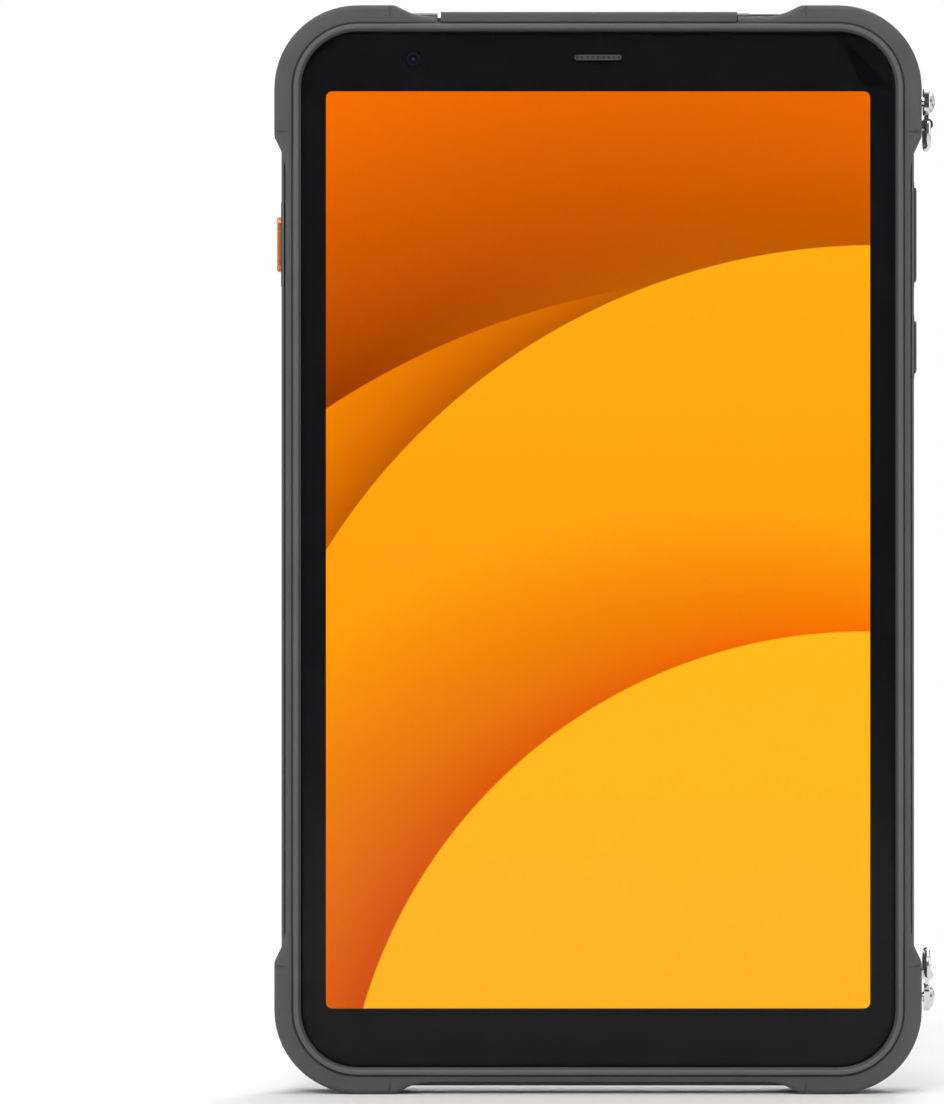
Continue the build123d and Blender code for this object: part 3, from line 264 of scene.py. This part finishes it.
PATCH = 7.0                 # mm, how broad the changes of colour are
SPECKLE = 0.35              # how far the finest spots turn paler
SPECKLE_RISE = 2.5          # how much paler than the broad changes
ROUGH_SPREAD = 0.15         # of the gloss, up and down


def surface(name, colour, rough, metal=0.0, level=0.5, grain=0.35, depth=0.02, vary=0.12, stretch=None):
    """A moulded, rubber or metal finish: broad changes of colour, and a fine grain in bump and gloss."""
    made, tree, shader, place = graph(name)
    broad = noise(tree, place, PATCH)
    fine = noise(tree, place, grain, 2.0, stretch)
    base = mix(tree, remap(tree, broad, 0, 1), shade(colour, 1 - vary), shade(colour, 1 + vary))
    speckled = mix(tree, remap(tree, fine, 0, SPECKLE), base, shade(colour, 1 + SPECKLE_RISE * vary))
    gloss = remap(tree, fine, rough * (1 - ROUGH_SPREAD), min(1, rough * (1 + ROUGH_SPREAD)))
    bump = tree.nodes.new("ShaderNodeBump")
    bump.inputs["Strength"].default_value = 1.0
    bump.inputs["Distance"].default_value = depth * MM
    feed(tree, fine, bump.inputs["Height"])
    finish = {"Base Color": speckled, "Roughness": gloss, "Metallic": metal,
              "Specular IOR Level": level, "Normal": bump.outputs[0]}
    for key, value in finish.items():
        feed(tree, value, shader.inputs[key])
    return made


def paint_depth_shade(material, crest, way, stops, within=None):
    """Paints shade into a finished material by depth, and a highlight where a share is above 1:
    stops are (mm from the crest, share of its colour), counted along Y in the given way; only within
    a box of half sizes in mm round the body's middle, if given."""
    tree = material.node_tree
    base = tree.nodes["Principled BSDF"].inputs["Base Color"]
    place = parts_of(tree, tree.nodes.new("ShaderNodeTexCoord").outputs["Object"])
    reach = stops[-1][0]
    depth = remap(tree, place["Y"], 0, 1, crest, crest + way * reach * MM)
    tone = stepped(tree, depth, [(deep / reach, share) for deep, share in stops])
    for axis, half in zip("XZ", within or ()):
        inside = maths(tree, "COMPARE", place[axis], getattr(BODY, axis.lower()), half * MM)
        tone = mix(tree, inside, WHITE, tone)
    feed(tree, mix(tree, 1.0, base.links[0].from_socket, tone, "MULTIPLY"), base)
    return material


LENS_GREY = (0.5, 0.5, 0.5)             # of dust on a lens
RING_ROUGH_SPREAD = 0.2
GLINT_CORE = 0.4                        # the even middle of a glint, as a share of its radius


def ringed(name, node, stops, rough=0.2, level=0.5, dust=0.15, glints=()):
    """A round part coloured in rings round its own centre: stops are (radius in mm, colour);
    dust is how far its finest spots turn grey; glints are (mm across, mm up, radius, colour)."""
    made, tree, shader, place = graph(name)
    centre, reach = middle(node), stops[-1][0]
    share = remap(tree, radius_from(tree, place, centre), 0, 1, 0, reach)
    colour = stepped(tree, share, [(radius / reach, tone) for radius, tone in stops])
    for x, z, radius, tint in glints:
        near = radius_from(tree, place, centre + Vector((x * MM, 0, z * MM)))
        colour = mix(tree, remap(tree, near, 1, 0, GLINT_CORE * radius, radius), colour, tint)
    fine = noise(tree, place, 0.5)
    spread = (rough * (1 - RING_ROUGH_SPREAD), rough * (1 + RING_ROUGH_SPREAD))
    feed(tree, mix(tree, remap(tree, fine, 0, dust), colour, LENS_GREY), shader.inputs["Base Color"])
    feed(tree, remap(tree, fine, *spread), shader.inputs["Roughness"])
    feed(tree, level, shader.inputs["Specular IOR Level"])
    return made


GLASS_ALPHA = 0.05
GLASS_TINT = (0.004, 0.004, 0.005)
SMEAR, SMEAR_ROUGH = 22.0, (0.03, 0.06)     # mm across, and the gloss between


def clear_glass():
    """Clear coated glass: what lies under it carries the gloss."""
    made, tree, shader, place = graph("clear_glass")
    feed(tree, remap(tree, noise(tree, place, SMEAR), *SMEAR_ROUGH), shader.inputs["Roughness"])
    feed(tree, GLASS_TINT, shader.inputs["Base Color"])
    feed(tree, GLASS_ALPHA, shader.inputs["Alpha"])
    return made


# ---------------------------------------------------------------- the lit screen

DISC_BLUR = 0.12            # mm, the soft edge of a disc
SCREEN_LIGHT = 1.12         # makes up for what the glass takes away
SCREEN_GLOW = 0.25          # the screen's light on the floor
SCREEN_LEVEL, SCREEN_ROUGH = 0.08, 0.06
SHADE_CURVE = 0.8           # below 1 the shade clears faster close to the disc
BACKDROP = ((0.80, 0.13, 0.0), (0.92, 0.155, 0.0))     # its foot and its top
# Overlapping discs, each on top of the one before. Lengths are in screen widths, from the screen's
# middle. A disc's shade lies on what is under it and fades away from its edge.
DISCS = (
    {"centre": (0.30, -0.95), "radius": 1.45, "foot": (0.90, 0.22, 0.0), "top": (0.92, 0.24, 0.0),
     "reach": (0.50, 0.50), "shade": ((0.29, 0.038, 0.0), (0.52, 0.080, 0.0))},
    {"centre": (0.51, -0.63), "radius": 1.19, "foot": (1.0, 0.26, 0.0), "top": (1.0, 0.45, 0.008),
     "reach": (0.16, 0.16), "shade": ((0.52, 0.105, 0.0), (0.52, 0.105, 0.0))},
    {"centre": (0.49, -1.11), "radius": 0.96, "foot": (1.0, 0.45, 0.009), "top": (1.0, 0.54, 0.016),
     "reach": (0.42, 0.20), "shade": ((0.60, 0.062, 0.0), (0.95, 0.16, 0.0))},
)


def screen_picture():
    """A lit screen with a plain orange picture of large overlapping discs."""
    made, tree, shader, place = graph("lit_screen")
    at = parts_of(tree, place)
    centre = (SCREEN_LOW + SCREEN_HIGH) / 2
    wide = SCREEN_HIGH.x - SCREEN_LOW.x
    rise = remap(tree, at["Z"], 0, 1, SCREEN_LOW.z / MM, SCREEN_HIGH.z / MM)
    across = remap(tree, at["X"], 0, 1, SCREEN_LOW.x / MM, SCREEN_HIGH.x / MM)
    colour = mix(tree, rise, *BACKDROP)
    for disc in DISCS:
        x, z = disc["centre"]
        apart = radius_from(tree, place, centre + Vector((x * wide, 0, z * wide)))
        radius = disc["radius"] * wide / MM
        reach = remap(tree, across, *(r * wide / MM for r in disc["reach"]), 0, 1)
        lit = maths(tree, "DIVIDE", maths(tree, "SUBTRACT", apart, radius), reach, clamp=True)
        lit = maths(tree, "POWER", lit, SHADE_CURVE)
        colour = mix(tree, lit, mix(tree, across, *disc["shade"]), colour)
        inside = remap(tree, apart, 1, 0, radius - DISC_BLUR, radius + DISC_BLUR)
        colour = mix(tree, inside, colour, mix(tree, rise, disc["foot"], disc["top"]))
    # nothing shines outside the mask's window
    diffuse = tree.nodes.new("ShaderNodeLightPath").outputs["Is Diffuse Ray"]
    strength = remap(tree, diffuse, SCREEN_LIGHT, SCREEN_GLOW, 0, 1)
    for axis in "XZ":
        low, high = getattr(SCREEN_LOW, axis.lower()) / MM, getattr(SCREEN_HIGH, axis.lower()) / MM
        inside = maths(tree, "COMPARE", at[axis], (low + high) / 2, (high - low) / 2)
        strength = maths(tree, "MULTIPLY", strength, inside)
    look = {"Emission Color": colour, "Emission Strength": strength, "Base Color": (0, 0, 0),
            "Specular IOR Level": SCREEN_LEVEL, "Roughness": SCREEN_ROUGH}
    for key, value in look.items():
        feed(tree, value, shader.inputs[key])
    return made


# ---------------------------------------------------------------- what each CAD node wears

GREY = (0.088, 0.088, 0.092)
BLACK = (0.010, 0.010, 0.011)
BARREL_STRETCH = (1, 1, 0.15)           # a grain drawn out along Z
SEAT_SHADE_REACH = (57.0, 99.2)               # the frame inside the bezel lip, where shade is painted: half sizes in mm


def dress(material, *names):
    """Gives CAD nodes a finished material; their shapes stay."""
    for name in names:
        mesh = nodes[name].data
        mesh.materials.clear()
        mesh.materials.append(material)


def dress_rubber():
    """The bumpers and the bezel, with painted highlights on their crests and painted shade where they
    turn away from the front or the back.
    """
    rubber = {"grain": 0.30, "vary": 0.07, "depth": 0.012}
    bezel = surface("bezel_lip", shade(GREY, 1.05), 0.42, level=0.30, grain=0.30, depth=0.008, vary=0.06)
    # painted highlight on the bezel's crest, painted shade down its slopes and in the gap by the glass
    lip = ((0, 1.15), (0.10, 1.10), (0.28, 0.42), (0.60, 0.30), (1.0, 0.10))
    dress(paint_depth_shade(bezel, FRONT_CREST, 1, lip), "front_bezel")
    front = surface("front_rubber", GREY, 0.62, level=0.20, **rubber)
    # painted shade on the frame deep under the bezel
    seat_shade = ((0, 1.0), (1.4, 1.0), (1.5, 0.04))
    dress(paint_depth_shade(front, FRONT_CREST, 1, seat_shade, SEAT_SHADE_REACH), "front_frame")
    rear = surface("rear_rubber", GREY, 0.55, level=0.28, **rubber)
    # painted highlight on the rear surround's crest, painted shade round its rounded rim
    band_shade = ((0, 1.12), (0.25, 0.95), (0.9, 0.52), (1.8, 0.42), (3.0, 0.62), (4.4, 0.9))
    dress(paint_depth_shade(rear, REAR_CREST, -1, band_shade), "rear_surround")
    dress(surface("bumper_rubber", GREY, 0.62, level=0.20, **rubber), "port_cover")
    dress(surface("black_seal", BLACK, 0.8, level=0.2, grain=0.15, depth=0.02, vary=0.3),
          "display_tape", "rear_gasket", "port_pad", "volume_seal", "power_seal", "custom_seal")


def dress_covers():
    """The rails, the rear cover and the camera plate, with painted shade in the cover's hollows and down
    the plate's bevelled edge.
    """
    dress(surface("rail_coat", (0.095, 0.095, 0.10), 0.42, metal=0.35, grain=0.12, depth=0.006,
                  vary=0.08), "mid_frame")
    textured = {"grain": 0.42, "depth": 0.03, "vary": 0.08}
    cover = surface("rear_texture", (0.078, 0.078, 0.083), 0.55, level=0.22, **textured)
    # painted shade in the hollows of the rear cover
    pocket_shade = ((0, 1.0), (0.25, 1.0), (0.45, 0.25), (1.0, 0.20))
    dress(paint_depth_shade(cover, COVER_CREST, -1, pocket_shade), "rear_cover")
    plate = surface("plate_texture", (0.082, 0.082, 0.087), 0.50, level=0.25, **textured)
    # painted shade down the camera plate's bevelled edge
    bevel_shade = ((0, 1.0), (0.04, 1.0), (0.12, 0.42), (0.6, 0.30))
    dress(paint_depth_shade(plate, PLATE_CREST, -1, bevel_shade), "camera_plate")


def dress_controls():
    """The keys and the chrome lugs."""
    dress(surface("key_plastic", (0.085, 0.085, 0.09), 0.40, grain=0.30, depth=0.006, vary=0.06),
          "volume_rocker", "power_key")
    dress(surface("orange_key", (0.62, 0.20, 0.06), 0.32, metal=0.6, grain=0.12, depth=0.004,
                  vary=0.10), "custom_key")
    dress(surface("chrome", (0.62, 0.62, 0.64), 0.12, metal=1.0, grain=0.8, depth=0.002, vary=0.04),
          "lug_screws", "strap_lug_top", "strap_lug_bottom", "strap_ring_top", "strap_ring_bottom")


def dress_screen():
    """The glass, the black border, the screen, the earpiece and the front camera."""
    dress(clear_glass(), "front_glass")
    dress(screen_picture(), "display_panel")
    dress(surface("black_ink", (0.0080, 0.0075, 0.0085), 0.08, level=0.10, grain=0.2, depth=0.001,
                  vary=0.2), "display_mask")
    dress(surface("dark_mesh", (0.075, 0.073, 0.075), 0.45, metal=0.5, grain=0.12, depth=0.004,
                  vary=0.15), "earpiece_mesh")
    # the bluish middle of the front lens is a painted glint
    rings = ((0, (0.05, 0.09, 0.20)), (0.14, (0.03, 0.05, 0.13)), (0.40, (0.004, 0.006, 0.016)),
             (0.75, (0.002, 0.002, 0.004)), (1.0, (0.012, 0.013, 0.018)), (1.5, (0.003, 0.003, 0.004)))
    dress(ringed("front_lens", "front_camera", rings, 0.25, 0.15, 0.004), "front_camera")


def dress_optics():
    """The rear camera, its window and rings, the torch lamp and the flash."""
    dress(surface("black_glass", (0.006, 0.006, 0.007), 0.10, level=0.25, grain=4.0, depth=0.001,
                  vary=0.2), "camera_window")
    dress(surface("ring_black", BLACK, 0.32, level=0.35, grain=0.25, depth=0.004, vary=0.2),
          "camera_rings")
    rings = ((0, (0.006, 0.010, 0.035)), (0.70, (0.006, 0.009, 0.030)), (0.95, (0.003, 0.003, 0.006)),
             (1.30, (0.004, 0.004, 0.006)), (1.50, (0.035, 0.036, 0.042)),
             (1.75, (0.004, 0.004, 0.005)), (2.2, (0.003, 0.003, 0.004)))
    glints = ((-0.30, 0.32, 0.34, (0.05, 0.12, 0.50)), (0.22, -0.34, 0.42, (0.03, 0.09, 0.42)))
    dress(ringed("rear_lens", "camera_lens", rings, 0.10, 0.3, 0.004, glints), "camera_lens")
    rings = ((0, (0.88, 0.78, 0.38)), (0.8, (0.88, 0.80, 0.48)), (1.5, (0.84, 0.83, 0.76)),
             (2.8, (0.78, 0.78, 0.78)))
    dress(ringed("lamp_lens", "torch_lamp", rings, 0.25), "torch_lamp")
    rings = ((0, (0.85, 0.66, 0.22)), (0.6, (0.88, 0.76, 0.40)), (1.1, (0.86, 0.84, 0.74)),
             (2.2, (0.82, 0.82, 0.81)))
    dress(ringed("flash_lens", "flash_lens", rings), "flash_lens")


def dress_inside():
    """What the case holds."""
    dress(surface("plain_steel", (0.45, 0.45, 0.46), 0.30, metal=1.0, grain=0.10, depth=0.004,
                  vary=0.08, stretch=BARREL_STRETCH),
          "case_screws", "board_screws", "shield_cans", "speaker_mesh",
          "vibration_motor", "usb_c_port", "card_reader", "port_cover_pin")
    dress(surface("black_plastic", (0.018, 0.018, 0.020), 0.40, grain=0.25, depth=0.008, vary=0.2),
          "earpiece", "rear_camera", "loudspeaker", "audio_jack", "key_switches")
    dress(surface("brass", (0.62, 0.45, 0.16), 0.28, metal=1.0, grain=0.2, depth=0.004, vary=0.08),
          "lug_inserts")
    dress(surface("solder_mask", (0.012, 0.10, 0.035), 0.38, grain=0.6, depth=0.006, vary=0.2),
          "flash_board", "main_board", "sub_board", "key_boards")
    dress(surface("battery_foil", (0.035, 0.035, 0.04), 0.45, grain=0.5, depth=0.006, vary=0.15),
          "battery")
    dress(surface("ceramic", (0.68, 0.64, 0.56), 0.5, grain=0.2, depth=0.004, vary=0.05),
          "gnss_antenna")
    dress(surface("amber_film", (0.45, 0.22, 0.04), 0.35, grain=0.5, depth=0.002, vary=0.10),
          "display_flex")


# ---------------------------------------------------------------- grip strips

DOT_PITCH = 0.945 * MM
DOT_RADIUS = 0.36 * MM
DOT_RISE = 0.26 * MM
DOT_SIDES = 6
DOT_RINGS = ((1.0, 0.0), (0.72, 0.75))  # radius and height of a dot's rings, as shares
ROW_PITCH = DOT_PITCH * sin(pi / 3)
STRIP_EDGE = 0.10 * MM                  # plain border round the dots
CREST_SLACK = 0.01 * MM                 # how near the crest a corner of the outline lies
# painted shade low on the pad, and painted highlight on the dots' tops
DOT_SHADE_TONES = ((0.006, 0.006, 0.006), (0.012, 0.012, 0.012))
DOT_HIGHLIGHT_TONES = ((0.11, 0.11, 0.114), (0.15, 0.15, 0.155))
DOT_SHADE_FADE = (0.20, 0.02)                 # mm below the crest: where the painted shade turns into the painted highlight
DOT_ROUGH, DOT_LEVEL = (0.5, 0.7), 0.15


def inside_outline(corners, x, z):
    """Whether a point lies inside a flat outline given as (x, z) corners."""
    hit = False
    for (x1, z1), (x2, z2) in zip(corners, corners[1:] + corners[:1]):
        if (z1 > z) != (z2 > z) and x < (x2 - x1) * (z - z1) / (z2 - z1) + x1:
            hit = not hit
    return hit


def rear_outline(node, inset):
    """The outline of a strip's rearmost face, drawn in by inset: its corners in order."""
    low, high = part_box(node)
    crest = high.y - CREST_SLACK
    points = {(round(v.co.x, 6), round(v.co.z, 6)) for v in nodes[node].data.vertices if v.co.y > crest}
    cx = sum(x for x, _ in points) / len(points)
    cz = (min(z for _, z in points) + max(z for _, z in points)) / 2
    wide, tall = high.x - low.x, high.z - low.z
    ring = sorted(points, key=lambda p: atan2((p[1] - cz) / tall, (p[0] - cx) / wide))
    half_x, half_z, centre = wide / 2, tall / 2, (low + high) / 2
    return [
        (centre.x + (x - centre.x) * (1 - inset / half_x),
         centre.z + (z - centre.z) * (1 - inset / half_z))
        for x, z in ring
    ]


def add_pad(made, outline, front, rear):
    """The pad under the dots."""
    behind = [made.verts.new((x, rear, z)) for x, z in outline]
    before = [made.verts.new((x, front, z)) for x, z in outline]
    made.faces.new(list(reversed(behind)))
    made.faces.new(before)
    for i in range(len(outline)):
        j = (i + 1) % len(outline)
        made.faces.new((behind[i], behind[j], before[j], before[i]))


def add_dot(made, x, z, base):
    """A low round dot that rises from depth base."""
    rings = []
    for share, rise in DOT_RINGS:
        radius, y = DOT_RADIUS * share, base + DOT_RISE * rise
        turns = [2 * pi * k / DOT_SIDES for k in range(DOT_SIDES)]
        rings.append([made.verts.new((x + radius * cos(a), y, z + radius * sin(a))) for a in turns])
    foot, shoulder = rings
    top = made.verts.new((x, base + DOT_RISE, z))
    for k in range(DOT_SIDES):
        n = (k + 1) % DOT_SIDES
        made.faces.new((foot[n], foot[k], shoulder[k], shoulder[n])).smooth = True
        made.faces.new((shoulder[n], shoulder[k], top)).smooth = True


def dotted_strip(node, rubber):
    """A strip of black rubber with raised round dots in staggered rows."""
    low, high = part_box(node)
    room = rear_outline(node, STRIP_EDGE + DOT_RADIUS)
    base = high.y - DOT_RISE
    made = bmesh.new()
    add_pad(made, rear_outline(node, 0), low.y, base)
    rows, columns = int((high.z - low.z) / ROW_PITCH), int((high.x - low.x) / DOT_PITCH) + 1
    for row in range(rows + 1):
        z = low.z + ROW_PITCH * (row + 0.5)
        for column in range(-1, columns + 1):
            x = low.x + DOT_PITCH * (column + 0.5 + 0.5 * (row % 2))
            if inside_outline(room, x, z):
                add_dot(made, x, z, base)
    bmesh.ops.recalc_face_normals(made, faces=made.faces)
    mesh = bpy.data.meshes.new(node + "_dotted")
    made.to_mesh(mesh)
    made.free()
    mesh.materials.append(rubber)
    piece = bpy.data.objects.new(node + "_dotted", mesh)
    scene.collection.objects.link(piece)
    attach(piece, "case")
    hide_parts(node)


def dotted_rubber():
    """Black rubber with painted highlights on its raised tops and painted shade low between the dots."""
    made, tree, shader, place = graph("dotted_rubber")
    rise = [STRIP_CREST / MM - deep for deep in DOT_SHADE_FADE]
    top = remap(tree, parts_of(tree, place)["Y"], 0, 1, *rise)
    fine = noise(tree, place, 0.15)
    dark, pale = (mix(tree, remap(tree, fine, 0, 1), *pair) for pair in (DOT_SHADE_TONES, DOT_HIGHLIGHT_TONES))
    feed(tree, mix(tree, top, dark, pale), shader.inputs["Base Color"])
    feed(tree, remap(tree, fine, *DOT_ROUGH), shader.inputs["Roughness"])
    feed(tree, DOT_LEVEL, shader.inputs["Specular IOR Level"])
    return made


# ---------------------------------------------------------------- floor

FLOOR_RADIUS = 4.0
FLOOR_DROP = 0.0001                     # below the bumpers, so that the two don't coincide
FLOOR_TONES = ((0.90, 0.90, 0.90), (0.94, 0.94, 0.94))
FLOOR_PATCH = 60.0                      # mm
FLOOR_NEAR, FLOOR_FAR = 0.16, 0.42      # where the floor's own light starts and is full


def make_floor():
    """A soft pale floor that takes the shadow and turns into the white of the sky further out."""
    made = bmesh.new()
    bmesh.ops.create_circle(made, cap_ends=True, radius=FLOOR_RADIUS, segments=96)
    mesh = bpy.data.meshes.new("floor")
    made.to_mesh(mesh)
    made.free()
    floor = bpy.data.objects.new("floor", mesh)
    scene.collection.objects.link(floor)
    floor.location = (0, 0, cad_box[0].z - FLOOR_DROP)
    matt, tree, shader, place = graph("pale_floor")
    feed(tree, mix(tree, noise(tree, place, FLOOR_PATCH), *FLOOR_TONES), shader.inputs["Base Color"])
    feed(tree, 0.9, shader.inputs["Roughness"])
    feed(tree, 0.1, shader.inputs["Specular IOR Level"])
    apart = radius_from(tree, place, (0, 0, 0), (1, 1, 0))
    fade = remap(tree, apart, 0, 1, FLOOR_NEAR / MM, FLOOR_FAR / MM)
    seen = tree.nodes.new("ShaderNodeLightPath").outputs["Is Camera Ray"]
    white = tree.nodes.new("ShaderNodeEmission").outputs[0]
    faded = blend(tree, maths(tree, "MULTIPLY", fade, seen), shader.outputs[0], white)
    feed(tree, faded, tree.nodes["Material Output"].inputs["Surface"])
    mesh.materials.append(matt)


# ---------------------------------------------------------------- the whole scene

make_camera()
make_lamps()
make_world()
make_floor()
dress_rubber()
dress_covers()
dress_controls()
dress_screen()
dress_optics()
dress_inside()
strip_rubber = dotted_rubber()
for name in sorted(n for n in nodes if n.startswith("grip_strip_")):
    dotted_strip(name, strip_rubber)

scene.view_settings.view_transform = "Standard"
